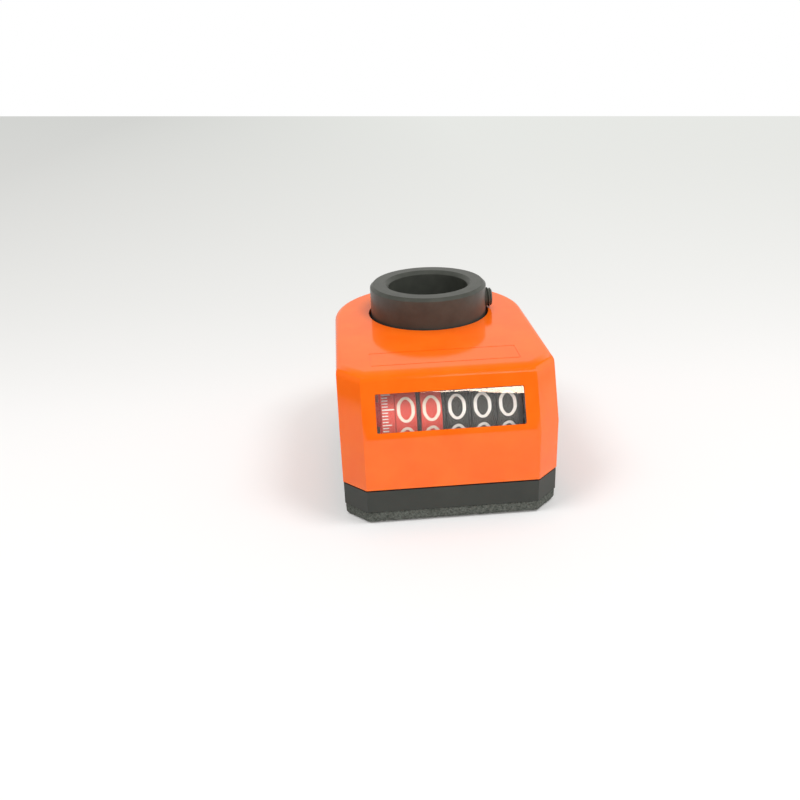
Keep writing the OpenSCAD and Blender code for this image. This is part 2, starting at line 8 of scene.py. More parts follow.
# %% Load the frame
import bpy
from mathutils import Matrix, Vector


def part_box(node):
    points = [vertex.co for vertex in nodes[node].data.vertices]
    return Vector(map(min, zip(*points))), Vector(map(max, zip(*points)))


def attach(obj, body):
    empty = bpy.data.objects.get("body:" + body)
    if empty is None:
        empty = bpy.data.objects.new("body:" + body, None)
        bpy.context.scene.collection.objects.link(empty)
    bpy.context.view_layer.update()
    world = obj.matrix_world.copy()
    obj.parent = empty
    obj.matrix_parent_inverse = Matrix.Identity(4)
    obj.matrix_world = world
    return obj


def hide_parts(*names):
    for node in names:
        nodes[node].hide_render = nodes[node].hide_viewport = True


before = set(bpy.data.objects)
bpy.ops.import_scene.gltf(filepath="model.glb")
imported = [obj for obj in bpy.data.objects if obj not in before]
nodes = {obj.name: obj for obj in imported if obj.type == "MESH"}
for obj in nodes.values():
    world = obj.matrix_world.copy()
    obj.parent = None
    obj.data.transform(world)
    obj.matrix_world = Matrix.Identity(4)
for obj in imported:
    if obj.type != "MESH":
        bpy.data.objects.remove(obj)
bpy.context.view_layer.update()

import math
import bpy
from mathutils import Matrix, Quaternion, Vector, noise

MM = 0.001

# %% [markdown]
# ## Camera
# The place and turn of the camera were found by fitting the outlines of the housing, the collar and the
# window, so the numbers are not round. A camera looks along its own -Z with +Y up, so its matrix is built
# from three directions: right, up and backwards. Building it that way lets the small roll of a hand-held
# shot be a plain rotation of the first two.

# %% Camera from fitted values
camera_place = Vector((-20.022, -200.583, 99.858)) * MM
camera_turn, camera_tilt, camera_roll = (math.radians(angle) for angle in (3.371, 24.437, 2.317))
focal_px, picture_px, sensor_mm = 820.26, 800, 36.0
nearest_seen, farthest_seen = 0.01, 20

forward = Vector((math.sin(camera_turn) * math.cos(camera_tilt),
                  math.cos(camera_turn) * math.cos(camera_tilt), -math.sin(camera_tilt)))
level_right = Vector((math.cos(camera_turn), -math.sin(camera_turn), 0))
level_up = level_right.cross(forward)
right = level_right * math.cos(camera_roll) - level_up * math.sin(camera_roll)
up = level_right * math.sin(camera_roll) + level_up * math.cos(camera_roll)
camera_axes = Matrix((right, up, -forward)).transposed().to_4x4()

bpy.ops.object.select_all(action="DESELECT")
bpy.ops.object.camera_add()
camera = bpy.context.object
camera.name = "studio_camera"
camera.matrix_world = Matrix.Translation(camera_place) @ camera_axes
camera.data.sensor_width = sensor_mm
camera.data.lens = focal_px / picture_px * sensor_mm
camera.data.clip_start, camera.data.clip_end = nearest_seen, farthest_seen
bpy.context.scene.camera = camera
print("lens in mm:", round(camera.data.lens, 2))

# %% [markdown]
# ## Colours and node helpers
# Colours are written as they look on a screen, in hexadecimal, and turned into the linear values that
# shader sockets expect. Every finish below is a small node tree. Trees could be clicked together by hand,
# but in a script a few helpers keep them readable: one adds a node and feeds its inputs, one starts a new
# material with its texture coordinates, and the rest wrap the nodes that come back again and again.

# %% Colours
def shade(code):
    """Linear RGBA of a screen colour such as "ff7a1e"."""
    parts = [int(code[i:i + 2], 16) / 255 for i in (0, 2, 4)]
    return [p / 12.92 if p <= 0.04045 else ((p + 0.055) / 1.055) ** 2.4 for p in parts] + [1.0]


print("orange in linear light:", [round(v, 3) for v in shade("ff7414")])


# %% Nodes and new finishes
def feed(tree, socket, value):
    """Feeds an input from another node's output, or sets it to a plain value."""
    if isinstance(value, bpy.types.NodeSocket):
        tree.links.new(value, socket)
    else:
        socket.default_value = value


def add_node(tree, kind, **inputs):
    """A new node of this kind, with inputs fed by name (spaces written as underscores)."""
    node = tree.nodes.new("ShaderNode" + kind)
    for name, value in inputs.items():
        feed(tree, node.inputs[name.replace("_", " ")], value)
    return node


def new_finish(name):
    """An empty material with its tree, its shader and the piece's own coordinates."""
    material = bpy.data.materials.new(name)
    material.use_nodes = True
    tree = material.node_tree
    place = add_node(tree, "TexCoord").outputs["Object"]
    return material, tree, tree.nodes["Principled BSDF"], place


print("materials that came with the frame:", len(bpy.data.materials))


# %% Nodes that come back often
def tree_math(tree, operation, first, second):
    """The output of a Math node fed by two sockets."""
    node = add_node(tree, "Math")
    node.operation = operation
    tree.links.new(first, node.inputs[0])
    tree.links.new(second, node.inputs[1])
    return node.outputs["Value"]


def tree_range(tree, level, start, end, low, high):
    """A level that goes from low to high while another one goes from start to end."""
    node = add_node(tree, "MapRange", Value=level, From_Min=start, From_Max=end, To_Min=low, To_Max=high)
    return node.outputs["Result"]


def tree_ramp(tree, level, stops):
    """The colour at this level between two stops, each a position and a screen colour."""
    ramp = add_node(tree, "ValToRGB", Fac=level)
    for point, (position, code) in zip(ramp.color_ramp.elements, stops):
        point.position, point.color = position, shade(code)
    return ramp.outputs["Color"]


def tree_mix(tree, share, first, second):
    """A mix of two shaders, all of the first at a share of 0 and all of the second at 1."""
    node = add_node(tree, "MixShader", Fac=share)
    tree.links.new(first, node.inputs[1])
    tree.links.new(second, node.inputs[2])
    return node.outputs["Shader"]


print("helpers:", [helper.__name__ for helper in (tree_math, tree_range, tree_ramp, tree_mix)])

# %% [markdown]
# ## Floor
# The studio floor is one large plane. A curved backdrop could stand behind it, but here the floor simply
# ends some way behind the piece, with white beyond, and the far edge is turned until it lies level in the
# picture. The plane is a prop of the studio and no piece of the object, so it is attached to no body.

# %% Floor plane
floor_size = 6.0
edge_turn, edge_reach = math.radians(-25.6), 0.8
floor_middle = Matrix.Rotation(edge_turn, 3, "Z") @ Vector((0, edge_reach - floor_size / 2, 0))
bpy.ops.mesh.primitive_plane_add(size=floor_size, location=floor_middle, rotation=(0, 0, edge_turn))
bpy.ops.object.transform_apply(location=True, rotation=True)
floor = bpy.context.object
floor.name = "studio_floor"
print("floor is", floor_size, "m square")

# %% [markdown]
# ## Floor finish
# A white floor under plain lamps turns out grey, and stronger lamps would wash the piece out. So part of
# what is seen of the floor is light of its own, from an Emission shader mixed with a matte one. Only rays
# that end in the picture get it: those of the camera, mirrored ones and those through the lens. All other
# light meets a plain matte white. The share is small round the piece, where the shadow falls, and grows
# with distance, while the glow falls off from white to a grey that is deeper on the left. That grey is
# painted shade: it stands for less light reaching the floor far back and on the left.

# %% Floor tone with painted shade
nearest_y, farthest_y = -0.05, 1.05
left_x, right_x = -0.3, 0.1
# Painted shade: the far greys stand for less light far back, more so on the left
near_white, far_left_shade, far_right_shade = "fffdfb", "d3d4d1", "e7e9e5"
# How far the tone has fallen off, and the painted shade deepened, at shares of the way back
fall_off = ((0.05, 0.18), (0.123, 0.57), (0.2, 0.71), (0.49, 0.86))

floor_paint, tree, shader, place = new_finish("studio_floor_white")
tree.nodes.remove(shader)
spot = add_node(tree, "SeparateXYZ", Vector=place)
way_back = tree_range(tree, spot.outputs["Y"], nearest_y, farthest_y, low=0, high=1)
way_right = tree_range(tree, spot.outputs["X"], left_x, right_x, low=0, high=1)
fall_curve = add_node(tree, "FloatCurve", Value=way_back)
for position, share in fall_off:
    fall_curve.mapping.curves[0].points.new(position, share)
fall_curve.mapping.update()
fallen = fall_curve.outputs["Value"]
# Painted shade on the floor: the far grey is deeper on the left, as if less light reached it there
far_painted_shade = tree_ramp(tree, way_right, ((0.0, far_left_shade), (1.0, far_right_shade)))
glow_with_painted_shade = add_node(tree, "MixRGB", Fac=fallen, Color1=shade(near_white), Color2=far_painted_shade)
print("the tone falls off over", round(farthest_y - nearest_y, 2), "m")

# %% Floor shaders
near_share, far_share = 0.12, 1.0
matte = add_node(tree, "BsdfDiffuse", Color=shade("eff0f1"))
glow = add_node(tree, "Emission", Color=glow_with_painted_shade.outputs["Color"], Strength=1.0)
path = add_node(tree, "LightPath")
mirrored = tree_math(tree, "MAXIMUM", path.outputs["Is Glossy Ray"], path.outputs["Is Transmission Ray"])
in_picture = tree_math(tree, "MAXIMUM", path.outputs["Is Camera Ray"], mirrored)
own_light = tree_range(tree, fallen, start=0, end=1, low=near_share, high=far_share)
glow_share = tree_math(tree, "MULTIPLY", in_picture, own_light)
floor_shader = tree_mix(tree, glow_share, matte.outputs["BSDF"], glow.outputs["Emission"])
tree.links.new(floor_shader, tree.nodes["Material Output"].inputs["Surface"])
floor.data.materials.append(floor_paint)
print("floor finish has", len(tree.nodes), "nodes")

# %% [markdown]
# ## World
# The world gives white to what the camera sees, also through the lens. Reflections see a room instead: a
# bright wall at the back and on the right, a dark side at the front and on the left, and less light
# straight up. A photograph of a room could do that too, but three ramps need no file. They keep the window
# face and the left corner deep orange while the top and the right corner look washed. All other rays meet
# an even soft level.

# %% Room for reflections
world = bpy.data.worlds.new("studio_world")
bpy.context.scene.world = world
world.use_nodes = True
tree = world.node_tree
tree.nodes.clear()
way = add_node(tree, "SeparateXYZ", Vector=add_node(tree, "TexCoord").outputs["Generated"])
back_wall = tree_range(tree, way.outputs["Y"], start=-0.1, end=0.5, low=0.10, high=0.66)
right_wall = tree_range(tree, way.outputs["X"], start=0.35, end=0.85, low=0.0, high=1.0)
less_above = tree_range(tree, way.outputs["Z"], start=0.45, end=0.85, low=1.0, high=0.35)
brighter_wall = tree_math(tree, "MAXIMUM", back_wall, right_wall)
room_level = tree_math(tree, "MULTIPLY", brighter_wall, less_above)
room = add_node(tree, "Background", Color=shade("fffcfa"), Strength=room_level)
print("room has", len(tree.nodes), "nodes")

# %% World for every kind of ray
soft_light = add_node(tree, "Background", Color=shade("fffaf6"), Strength=0.6)
white = add_node(tree, "Background", Color=(1, 1, 1, 1), Strength=1.0)
path = add_node(tree, "LightPath")
through = path.outputs["Is Transmission Ray"]
seen_white = tree_math(tree, "MAXIMUM", path.outputs["Is Camera Ray"], through)
around = tree_mix(tree, path.outputs["Is Glossy Ray"], soft_light.outputs[0], room.outputs[0])
surroundings = tree_mix(tree, seen_white, around, white.outputs[0])
add_node(tree, "OutputWorld", Surface=surroundings)
bpy.context.scene.view_settings.view_transform = "Standard"
print("world has", len(tree.nodes), "nodes")

# %% [markdown]
# ## Lamps
# Two large soft lamps light the piece, one overhead and one high in front. Their shadows would lie long on
# one side, while the shadow in a light tent is short and soft on both. So the floor is left out of their
# light and has two lamps of its own, one on each side. Light linking does that: a collection on the lamp
# names what it lights, or what it leaves out. None of the four is mirrored in the glossy plastic. A narrow
# strip is: only reflections see it, and it adds a glint.

# %% Helpers for lamps
def area_lamp(name, place_mm, aim_mm, size_mm, watts, roll=0.0):
    """A rectangular area lamp that looks at a point, turned about its own axis by a roll."""
    bpy.ops.object.light_add(type="AREA", location=Vector(place_mm) * MM)
    lamp = bpy.context.object
    lamp.name = name
    lamp.data.shape = "RECTANGLE"
    lamp.data.size, lamp.data.size_y = (length * MM for length in size_mm)
    lamp.data.energy = watts
    aim = (Vector(aim_mm) - Vector(place_mm)).normalized()
    lamp.rotation_euler = (aim.to_track_quat("-Z", "Y") @ Quaternion((0, 0, 1), roll)).to_euler()
    lamp.visible_transmission = False
    print(name, "gives", watts, "W")
    return lamp


def link_lamp(lamp, piece, state):
    """Names the one piece that a lamp lights (INCLUDE) or leaves out (EXCLUDE)."""
    group = bpy.data.collections.new(lamp.name + "_link")
    group.objects.link(piece)
    group.collection_objects[0].light_linking.link_state = state
    lamp.light_linking.receiver_collection = group


print("lamps so far:", len(bpy.data.lights))

# %% Lamps for the piece
overhead_lamp = area_lamp("overhead_lamp", place_mm=(-60, 120, 620), aim_mm=(0, -15, 15),
                          size_mm=(420, 420), watts=1.0)
front_lamp = area_lamp("front_lamp", place_mm=(140, -250, 460), aim_mm=(0, -30, 25),
                       size_mm=(240, 240), watts=1.45)
for lamp in (overhead_lamp, front_lamp):
    lamp.visible_glossy = False
    link_lamp(lamp, floor, "EXCLUDE")

# %% Lamps for the floor
for name, side, watts in (("left_lamp", -1, 1.1), ("right_lamp", 1, 1.15)):
    lamp = area_lamp(name, place_mm=(side * 250, -120, 500), aim_mm=(0, -10, 0),
                     size_mm=(200, 200), watts=watts)
    lamp.visible_glossy = False
    link_lamp(lamp, floor, "INCLUDE")

# %% Strip for a glint
window_middle_mm = Vector((0, -44, 26))
strip_turn, strip_height, strip_roll = (math.radians(angle) for angle in (18.2, 45.6, -57))
strip_length, strip_width = 0.34, 0.128
strip_way = Vector((math.sin(strip_turn) * math.cos(strip_height),
                    -math.cos(strip_turn) * math.cos(strip_height), math.sin(strip_height)))


def strip_lamp(name, distance_mm, watts):
    """A strip that only reflections see, as large at every distance as seen from the window."""
    place_mm = window_middle_mm + strip_way * distance_mm
    size_mm = (strip_length * distance_mm, strip_width * distance_mm)
    lamp = area_lamp(name, place_mm, window_middle_mm, size_mm, watts, strip_roll)
    lamp.visible_diffuse = False
    return lamp


strip_lamp("housing_strip", distance_mm=500, watts=0.07)

# %% [markdown]
# ## Dressed copies of the solids
# A CAD solid arrives as loose triangles with knife-sharp edges. Real moulded and turned parts have small
# rounds, and those thin lines are what catches the light. So a copy of the solid is welded, its flat areas
# are joined into single faces, a Bevel modifier rounds the hard edges, and the copy stands in for the node.
# The CAD object itself stays where it is, hidden, with its mesh unchanged.

# %% Select a piece and apply its modifiers
def select_only(piece):
    """Deselects everything, then selects this piece and makes it active."""
    bpy.ops.object.select_all(action="DESELECT")
    piece.select_set(True)
    bpy.context.view_layer.objects.active = piece


def apply_modifiers(piece):
    """Applies all modifiers of a piece in order."""
    select_only(piece)
    for modifier in list(piece.modifiers):
        bpy.ops.object.modifier_apply(modifier=modifier.name)


print("nodes in the frame:", len(nodes))

# %% Welded copy
weld_distance = 1e-6
flat_angle = math.radians(0.4)


def welded_copy(node, name):
    """A copy of a CAD node as one welded mesh with whole flat faces."""
    piece = bpy.data.objects.new(name, nodes[node].data.copy())
    bpy.context.scene.collection.objects.link(piece)
    piece.data.materials.clear()
    select_only(piece)
    bpy.ops.mesh.customdata_custom_splitnormals_clear()
    bpy.ops.object.mode_set(mode="EDIT")
    bpy.ops.mesh.select_all(action="SELECT")
    bpy.ops.mesh.remove_doubles(threshold=weld_distance)
    bpy.ops.mesh.dissolve_limited(angle_limit=flat_angle)
    bpy.ops.object.mode_set(mode="OBJECT")
    return piece


print("loose triangles of the housing:", len(nodes["housing"].data.polygons))

# %% Rounded edges
smooth_angle = math.radians(32)
round_steps = 2


def weigh_edges(piece, stays_sharp):
    """Gives a bevel weight to the hard edges of a piece, apart from those that stay sharp."""
    select_only(piece)
    bpy.ops.object.mode_set(mode="EDIT")
    bpy.ops.mesh.select_mode(type="EDGE")
    bpy.ops.mesh.select_all(action="DESELECT")
    bpy.ops.mesh.edges_select_sharp(sharpness=smooth_angle)
    bpy.ops.object.mode_set(mode="OBJECT")
    weights = piece.data.attributes.new("bevel_weight_edge", "FLOAT", "EDGE")
    for edge, weight in zip(piece.data.edges, weights.data):
        ends = [piece.data.vertices[i].co for i in edge.vertices]
        weight.value = float(edge.select and not (stays_sharp and stays_sharp(ends)))


def round_edges(piece, radius_mm, stays_sharp):
    """Rounds the hard edges and smooths the shading, with flat faces kept flat."""
    weigh_edges(piece, stays_sharp)
    bevel = piece.modifiers.new("edge_round", "BEVEL")
    bevel.limit_method = "WEIGHT"
    bevel.width = radius_mm * MM
    bevel.segments = round_steps
    apply_modifiers(piece)
    bpy.ops.object.shade_smooth_by_angle(angle=smooth_angle)
    weighted = piece.modifiers.new("flat_faces", "WEIGHTED_NORMAL")
    weighted.keep_sharp = True
    apply_modifiers(piece)


def dressed_copy(node, name, body, radius_mm, stays_sharp=None):
    """A welded copy of a node with rounded edges, which stands for the node."""
    piece = welded_copy(node, name)
    round_edges(piece, radius_mm, stays_sharp)
    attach(piece, body)
    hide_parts(node)
    print(name, "faces:", len(piece.data.polygons))
    return piece


print("edges over", round(math.degrees(smooth_angle)), "degrees get a round")

# %% [markdown]
# ## Housing
# The housing is one shot of glossy plastic with small rounds on its outer edges. A Subdivision Surface
# would round them as well, but it would also pull the flat faces out of shape, so a bevel is the better
# tool. The shallow line on the top is finer than the round, and its edges stay sharp.

# %% Housing copy
top_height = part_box("housing")[1].z
line_depth, line_back = 0.2 * MM, -18 * MM


def on_frame_line(ends):
    """Whether an edge belongs to the shallow line on the top."""
    return all(end.z > top_height - line_depth and end.y < line_back for end in ends)


housing = dressed_copy("housing", "housing_shell", "housing", 0.2, on_frame_line)

# %% [markdown]
# ## Base
# The base closes the housing from below and is moulded too. Its edges meet the housing's in a crisp seam,
# so its round is smaller. A copy with a bevel is enough, as its outline is already in the solid.

# %% Base copy
base = dressed_copy("base", "base_tray", "housing", 0.12)

# %% [markdown]
# ## Collar and sleeve
# The collar is the upper end of a steel sleeve that the spindle passes through. It could be spun from a
# profile here as it is on a lathe, but the solid already has that form. Only the broken edges are missing,
# and they matter, because they are what catches the light on so dark a piece.

# %% Collar copy
collar = dressed_copy("hollow_shaft", "collar_sleeve", "spindle", 0.12)

# %% [markdown]
# ## Lens
# A clear lens closes the window. A flat plane with a glass finish would mirror the room, but it has no rim,
# and the thin bright line of the rim is what tells the eye that there is something in the opening. So the
# lens stays a solid, with the smallest round of all.

# %% Lens copy
lens = dressed_copy("window_lens", "lens_clear", "housing", 0.1)

# %% [markdown]
# ## Drums
# Five digit drums sit side by side on one axle, with a narrow graduated drum at the end of the row. The two
# finest drums and the graduated one are red, the others black. A loop makes the copies, each with its own
# mesh, because every drum turns at its own speed.

# %% Drum copies
drum_numbers = range(1, 6)
red_drums = 2
drum_shells = {k: dressed_copy(f"digit_drum_{k}", f"drum_shell_{k}", f"drum_{k}", 0.12)
               for k in drum_numbers}
scale_shell = dressed_copy("scale_drum", "scale_drum_shell", "drum_1", 0.12)

# %% [markdown]
# ## Light on the graduated drum
# The graduated drum stands close to the housing's wall, and no lamp reaches its end, which would be a black
# corner of the window. Stronger lamps would bleach the rest. So one small lamp on the left lights this drum
# alone and throws no shadow, as if light crept in from the side.

# %% Lamp for the graduated drum
flank_lamp = area_lamp("flank_lamp", place_mm=(-400, 60, 20), aim_mm=(-14.7, -36, 21),
                       size_mm=(60, 60), watts=1.3)
flank_lamp.data.use_shadow = flank_lamp.visible_glossy = False
link_lamp(flank_lamp, scale_shell, "INCLUDE")

# %% [markdown]
# ## Moulded plastics
# The housing, the base, the drums and the small gears are all moulded. One function makes these finishes:
# two close colours mottled together so that no surface is one flat tone, a fine grain as bump, and a gloss
# that varies a little. A picture of plastic could be wrapped round instead, but noise in the piece's own
# coordinates needs no unwrapping. The glossy housing has a low roughness, so the collar is mirrored in its
# top.

# %% Helpers for finishes
dark_until, light_from = 0.3, 0.7


def mottle(tree, place, size_mm, detail=3.0, roughness=0.55):
    """A noise texture whose blotches are about this large."""
    texture = add_node(tree, "TexNoise", Vector=place, Scale=1 / (size_mm * MM), Detail=detail,
                       Roughness=roughness)
    return texture.outputs["Fac"]


def two_tone(tree, shader, level, dark, light):
    """Base colour that drifts between two close colours."""
    drift = tree_ramp(tree, level, ((dark_until, dark), (light_from, light)))
    feed(tree, shader.inputs["Base Color"], drift)


def uneven_gloss(tree, shader, level, low, high):
    """Roughness that drifts between two values."""
    feed(tree, shader.inputs["Roughness"], tree_range(tree, level, 0, 1, low, high))


def grain(tree, shader, level, depth_mm, strength):
    """Fine relief from a texture."""
    bump = add_node(tree, "Bump", Height=level, Strength=strength, Distance=depth_mm * MM)
    feed(tree, shader.inputs["Normal"], bump.outputs["Normal"])


print("colours drift between", dark_until, "and", light_from, "of the noise")

# %% Plastic finishes
plastic_blotch_mm = 7


def moulded_plastic(name, dark, light, gloss, grain_mm, depth_mm, strength=0.2):
    """A moulded plastic: mottled colour, uneven gloss and a fine grain."""
    material, tree, shader, place = new_finish(name)
    blotches = mottle(tree, place, plastic_blotch_mm)
    two_tone(tree, shader, blotches, dark, light)
    uneven_gloss(tree, shader, blotches, *gloss)
    grain(tree, shader, mottle(tree, place, grain_mm), depth_mm, strength)
    print("plastic:", name)
    return material


orange_plastic = moulded_plastic("glossy_orange", "ff690a", "ff7112", gloss=(0.08, 0.12),
                                 grain_mm=0.9, depth_mm=0.01, strength=0.12)
charcoal_plastic = moulded_plastic("satin_charcoal", "2b2f2a", "343832", gloss=(0.42, 0.55),
                                   grain_mm=0.25, depth_mm=0.02, strength=0.35)
red_plastic = moulded_plastic("drum_red", "dc4433", "e65040", gloss=(0.34, 0.46),
                              grain_mm=0.3, depth_mm=0.01)
black_plastic = moulded_plastic("drum_black", "2a2a26", "34332e", gloss=(0.34, 0.46),
                                grain_mm=0.3, depth_mm=0.01)
pale_nylon = moulded_plastic("pale_nylon", "ddd6c4", "e9e3d3", gloss=(0.38, 0.5),
                             grain_mm=0.4, depth_mm=0.01)
seal_rubber = moulded_plastic("seal_rubber", "141415", "1d1d1f", gloss=(0.55, 0.7),
                              grain_mm=0.3, depth_mm=0.02)

# %% [markdown]
# ## Turned and plain metal
# A turned part shows fine rings: they run round the shaft on its side, and lie as circles on its end face.
# Both come from one trick. The texture is read at (distance from the axis, 0, height), so it is the same
# all the way round, and a noise stretched that way becomes grooves. The collar is blackened. Such a skin
# is no bare metal, so Metallic stays at nought there, while the pins, clips and bushes inside have it full.
# The dark screw lies between.

# %% Turned finish
def turned_steel(name, dark, light, gloss, groove_mm, shine):
    """Blackened steel with fine turning grooves about the Z axis."""
    material, tree, shader, place = new_finish(name)
    parts = add_node(tree, "SeparateXYZ", Vector=place)
    flat = add_node(tree, "CombineXYZ", X=parts.outputs["X"], Y=parts.outputs["Y"])
    distance = add_node(tree, "VectorMath", Vector=flat.outputs["Vector"])
    distance.operation = "LENGTH"
    ring_place = add_node(tree, "CombineXYZ", X=distance.outputs["Value"], Z=parts.outputs["Z"])
    rings = mottle(tree, ring_place.outputs["Vector"], groove_mm, detail=2.0)
    two_tone(tree, shader, mottle(tree, place, size_mm=3.0), dark, light)
    uneven_gloss(tree, shader, rings, *gloss)
    grain(tree, shader, rings, depth_mm=0.02, strength=0.25)
    shader.inputs["Specular IOR Level"].default_value = shine
    return material


black_steel = turned_steel("blackened_steel", "434641", "4c4f49", gloss=(0.30, 0.42), groove_mm=0.25,
                           shine=0.35)
print("turned metal:", black_steel.name)


# %% Plain metal finishes
def plain_metal(name, dark, light, gloss, metallic=1.0):
    """Drawn or punched metal with a slightly cloudy surface."""
    material, tree, shader, place = new_finish(name)
    clouds = mottle(tree, place, size_mm=1.6)
    two_tone(tree, shader, clouds, dark, light)
    uneven_gloss(tree, shader, clouds, *gloss)
    grain(tree, shader, mottle(tree, place, size_mm=0.2), depth_mm=0.01, strength=0.2)
    shader.inputs["Metallic"].default_value = metallic
    return material


dark_screw_steel = plain_metal("dark_screw_steel", "565952", "646760", gloss=(0.34, 0.48), metallic=0.3)
bright_steel = plain_metal("bright_steel", "a8abb0", "bbbec2", gloss=(0.25, 0.4))
sintered_bronze = plain_metal("sintered_bronze", "a87f45", "bb9557", gloss=(0.35, 0.5))
print("plain metals:", dark_screw_steel.name, bright_steel.name, sintered_bronze.name)

# %% [markdown]
# ## Clear lens
# The lens is clear plastic with a hard coat. With the index of real plastic this solid would bend the view
# of the drums, so its index is low, and it looks like a thin window. The coat has an index of its own and
# brings the gloss back. Glass in a path tracer also blocks the lamps, so the drums behind it would sit in
# the dark. The usual cure is to let shadow rays pass: a Mix Shader swaps the glass for a Transparent shader
# when the ray is on its way to a lamp, and the eye still sees gloss and refraction. The white band along
# the upper right edge is the mirror image of a warm strip that lights the lens alone.

# %% Lens finish
clear_plastic, tree, shader, place = new_finish("clear_plastic")
shader.inputs["Base Color"].default_value = shade("fdfdfb")
shader.inputs["Transmission Weight"].default_value = 0.99
shader.inputs["IOR"].default_value = 1.12
shader.inputs["Coat Weight"].default_value = 1.0
shader.inputs["Coat IOR"].default_value = 1.6
uneven_gloss(tree, shader, mottle(tree, place, size_mm=2.0), low=0.02, high=0.04)
open_way = add_node(tree, "BsdfTransparent", Color=(1, 1, 1, 1))
to_lamp = add_node(tree, "LightPath").outputs["Is Shadow Ray"]
lens_shader = tree_mix(tree, to_lamp, shader.outputs["BSDF"], open_way.outputs["BSDF"])
tree.links.new(lens_shader, tree.nodes["Material Output"].inputs["Surface"])
print("lens index:", round(shader.inputs["IOR"].default_value, 2))

# %% Strip for the lens
lens_strip = strip_lamp("lens_strip", distance_mm=470, watts=0.6)
lens_strip.data.color = shade("ffe1c4")[:3]
link_lamp(lens_strip, lens, "INCLUDE")

# %% [markdown]
# ## Finishes on the pieces
# The dressed copies get their finish here, and so do the CAD nodes that stay as they are: gears, pins,
# plates and bushes inside the housing. Each could be painted where it is made, but one list shows at a
# glance what is made of what. A node keeps its mesh, and only its material slot changes.

# %% Finishes on the copies
def paint(piece, material):
    """Gives a piece one material."""
    piece.data.materials.clear()
    piece.data.materials.append(material)


def drum_plastic(k):
    """The plastic of a digit drum: red for the finest ones, black for the others."""
    return red_plastic if k <= red_drums else black_plastic


for piece, material in ((housing, orange_plastic), (base, charcoal_plastic), (collar, black_steel),
                        (lens, clear_plastic), (scale_shell, red_plastic)):
    paint(piece, material)
for k, shell in drum_shells.items():
    paint(shell, drum_plastic(k))
print("drum plastics:", [drum_plastic(k).name for k in drum_numbers])

# %% Finishes on the nodes
between_drums = drum_numbers[:-1]
node_finish = {
    pale_nylon: ["shaft_gear", "drive_pinion", "idler_gear", "drum_gear"]
    + [f"transfer_pinion_{k}" for k in between_drums],
    bright_steel: ["retaining_ring", "pinion_pin", "idler_pin", "counter_frame", "frame_screws",
                   "drum_axle", "axle_clip"],
    sintered_bronze: ["upper_bush", "lower_bush"],
    seal_rubber: ["shaft_seal"],
    black_plastic: ["end_washer"] + [f"carrier_plate_{k}" for k in between_drums],
}
for material, names in node_finish.items():
    for name in names:
        nodes[name].material_slots[0].material = material
print("nodes painted:", sum(len(names) for names in node_finish.values()))

# %% [markdown]
# ## Digits on the drums
# Each drum carries the digits 0 to 9, printed upside down as seen from the window side, because the fine
# drums stand on the left there: the counter is read from the other side. A font could give the digits, but
# such digits are plain pen strokes, so each is a curve through a few points, some smooth and some sharp. A
# 3-D curve with a tilt of a quarter turn and an extrusion becomes a flat ribbon. Pressing the ribbon a
# little flatter makes its level strokes thinner than its upright ones. It is cut into thin bands, so that
# it can follow the drum, and each point is then laid on it: across the drum stays across, and up the digit
# becomes an angle round the axle.

# %% Strokes of the digits
oval = [(math.sin(k * math.pi / 4), math.cos(k * math.pi / 4)) for k in range(8)]
six = [(0.92, 0.6), (0.1, 1), (-0.86, 0.5), (-1, -0.35), (0, -1), (1, -0.4), (0, 0.18), (-0.97, -0.3)]
two = [(-0.95, 0.5), (0, 1), (0.9, 0.45), (0, -0.4), (-1, -1), (1, -1)]
three = [(-0.9, 0.65), (0, 1), (0.85, 0.52), (-0.1, 0.08), (1, -0.45), (0, -1), (-1, -0.6)]
five = [(0.85, 1), (-0.75, 1), (-0.9, 0.05), (0, 0.3), (1, -0.35), (0, -1), (-1, -0.65)]
upper_eight = [(x * 0.82, 0.55 + y * 0.45) for x, y in oval]
lower_eight = [(x, -0.45 + y * 0.55) for x, y in oval]
# For each digit: its strokes, as points from -1 to 1, which ones are corners, and whether it is closed
digit_strokes = {
    0: [(oval, (), True)],
    1: [([(-0.6, 0.6), (0.15, 1), (0.15, -1)], (0, 1, 2), False)],
    2: [(two, (4, 5), False)],
    3: [(three, (3,), False)],
    4: [([(0.4, -1), (0.4, 1), (-1, -0.4), (1, -0.4)], (0, 1, 2, 3), False)],
    5: [(five, (0, 1, 2), False)],
    6: [(six, (), False)],
    7: [([(-1, 1), (1, 1), (-0.3, -1)], (0, 1, 2), False)],
    8: [(upper_eight, (), True), (lower_eight, (), True)],
    9: [([(-x, -y) for x, y in six], (), False)],
}
print("strokes per digit:", [len(strokes) for strokes in digit_strokes.values()])

# %% Flat digits
digit_w, digit_h = 3.86, 5.55
stroke, pen_flat, pen_steps = 0.72, 0.84, 10
band, ribbon_weld = 0.35, 1e-4


def pen_stroke(points, corners, closed):
    """One stroke as a ribbon of the pen's width, in mm."""
    curve = bpy.data.curves.new("pen", "CURVE")
    curve.dimensions, curve.twist_mode = "3D", "Z_UP"
    curve.extrude, curve.resolution_u = stroke / 2, pen_steps
    line = curve.splines.new("BEZIER")
    line.bezier_points.add(len(points) - 1)
    line.use_cyclic_u = closed
    for number, (knot, (x, y)) in enumerate(zip(line.bezier_points, points)):
        knot.co = (x * (digit_w - stroke) / 2, y * (digit_h / pen_flat - stroke) / 2, 0)
        knot.handle_left_type = knot.handle_right_type = "VECTOR" if number in corners else "AUTO"
        knot.tilt = math.pi / 2
    pen = bpy.data.objects.new("pen", curve)
    bpy.context.scene.collection.objects.link(pen)
    return pen


